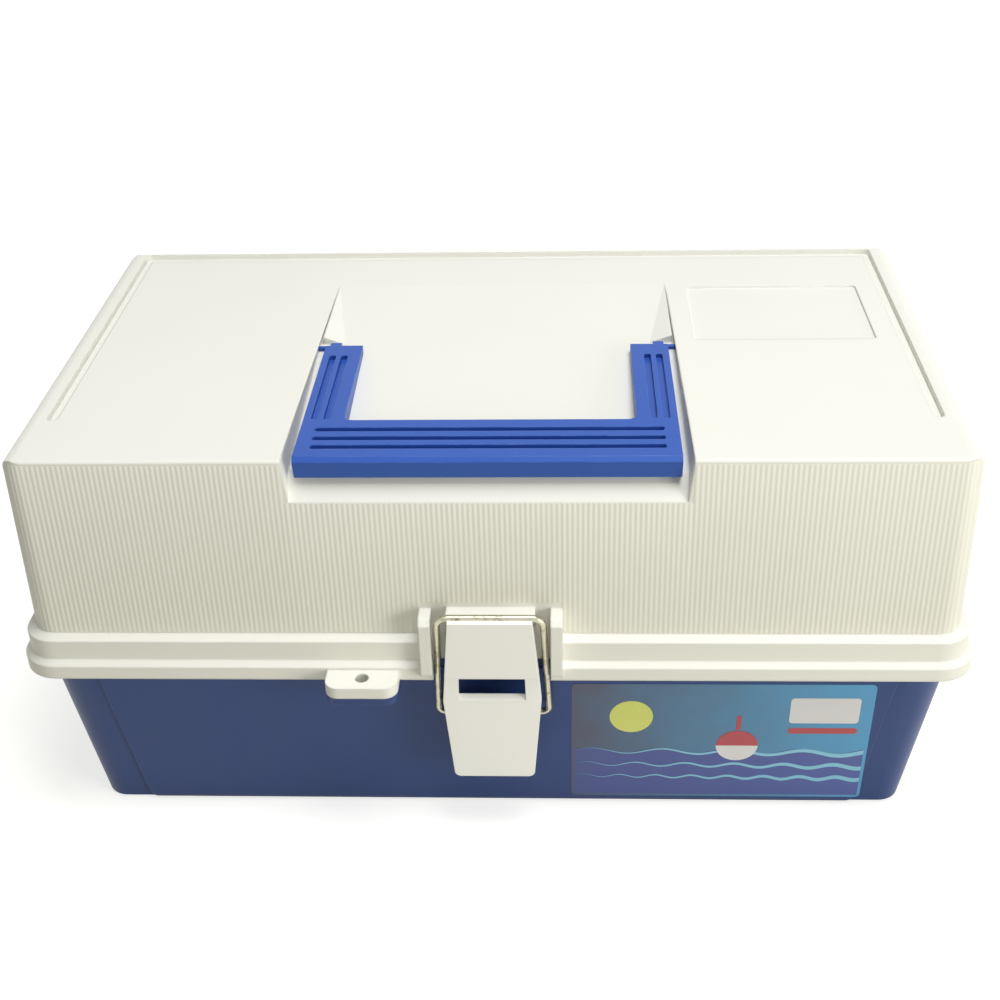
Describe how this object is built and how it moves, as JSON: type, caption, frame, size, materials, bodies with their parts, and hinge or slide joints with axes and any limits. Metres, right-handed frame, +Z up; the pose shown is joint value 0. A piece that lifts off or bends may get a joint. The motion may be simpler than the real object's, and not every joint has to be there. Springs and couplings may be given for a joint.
{
  "type": "tackle box",
  "caption": "Tackle box with drafted tub, ribbed hinged lid, fold-down carry handle, wire-bail latch and cantilever trays that rise with the lid.",
  "frame": {"origin": "centre of the foot of the base, on the surface it stands on", "axes": "+X to the right seen from the latch, +Y to the rear hinges, +Z up"},
  "size_m": [0.35, 0.2193, 0.162],
  "materials": {
    "navy_plastic": "moulded, semi-gloss",
    "ivory_plastic": "moulded, satin",
    "cobalt_plastic": "moulded, semi-gloss",
    "wire_steel": "nickel-plated wire",
    "pin_steel": "plain steel",
    "arm_plastic": "moulded, satin",
    "tray_plastic": "moulded, satin",
    "divider_plastic": "moulded, satin"
  },
  "bodies": {
    "base": {"base_tub": "navy_plastic", "base_arm_pins": "pin_steel", "hinge_pin_left": "pin_steel", "hinge_pin_right": "pin_steel"},
    "lid": {"lid_shell": "ivory_plastic", "handle_pin_left": "pin_steel", "handle_pin_right": "pin_steel", "lid_stud_pins": "pin_steel"},
    "handle": {"carry_handle": "cobalt_plastic"},
    "bail": {"latch_bail": "wire_steel"},
    "lever": {"latch_lever": "ivory_plastic"},
    "long_arms": {"long_arm_left": "arm_plastic", "long_arm_right": "arm_plastic"},
    "short_arms": {"short_arm_left": "arm_plastic", "short_arm_right": "arm_plastic"},
    "lower_tray_body": {"lower_tray": "tray_plastic", "lower_tray_pins": "pin_steel", "lower_front_divider_1": "divider_plastic", "lower_front_divider_2": "divider_plastic", "lower_front_divider_3": "divider_plastic", "lower_front_divider_4": "divider_plastic", "lower_rear_divider_1": "divider_plastic", "lower_rear_divider_2": "divider_plastic"},
    "upper_tray_body": {"upper_tray": "tray_plastic", "upper_tray_pins": "pin_steel", "upper_front_divider_1": "divider_plastic", "upper_front_divider_2": "divider_plastic", "upper_front_divider_3": "divider_plastic", "upper_rear_divider_1": "divider_plastic", "upper_rear_divider_2": "divider_plastic"}
  },
  "joints": [
    {"name": "lid_hinge", "type": "hinge", "parent": "base", "child": "lid", "pos_m": [0, 0.1043, 0.077], "axis": [-1, 0, 0], "range_deg": [0, 95]},
    {"name": "handle_hinge", "type": "hinge", "parent": "lid", "child": "handle", "pos_m": [0, -0.0005, 0.1593], "axis": [-1, 0, 0], "range_deg": [0, 100]},
    {"name": "bail_hinge", "type": "hinge", "parent": "base", "child": "bail", "pos_m": [0, -0.09262, 0.053], "axis": [1, 0, 0], "range_deg": [0, 20]},
    {"name": "lever_hinge", "type": "hinge", "parent": "bail", "child": "lever", "pos_m": [0, -0.103, 0.1035], "axis": [-1, 0, 0], "range_deg": [0, 150]},
    {"name": "long_arm_hinge", "type": "hinge", "parent": "base", "child": "long_arms", "pos_m": [0, 0.014, 0.077], "axis": [-1, 0, 0], "range_deg": [0, 95]},
    {"name": "short_arm_hinge", "type": "hinge", "parent": "base", "child": "short_arms", "pos_m": [0, 0.07, 0.077], "axis": [-1, 0, 0], "range_deg": [0, 95]},
    {"name": "lower_tray_hinge", "type": "hinge", "parent": "long_arms", "child": "lower_tray_body", "pos_m": [0, -0.032, 0.075], "axis": [-1, 0, 0], "range_deg": [-95, 0]},
    {"name": "upper_tray_hinge", "type": "hinge", "parent": "long_arms", "child": "upper_tray_body", "pos_m": [0, -0.066, 0.093], "axis": [-1, 0, 0], "range_deg": [-95, 0]}
  ],
  "couplings": [
    {"joint": "long_arm_hinge", "follows": "lid_hinge", "ratio": 1},
    {"joint": "short_arm_hinge", "follows": "lid_hinge", "ratio": 1},
    {"joint": "lower_tray_hinge", "follows": "lid_hinge", "ratio": -1},
    {"joint": "upper_tray_hinge", "follows": "lid_hinge", "ratio": -1}
  ]
}
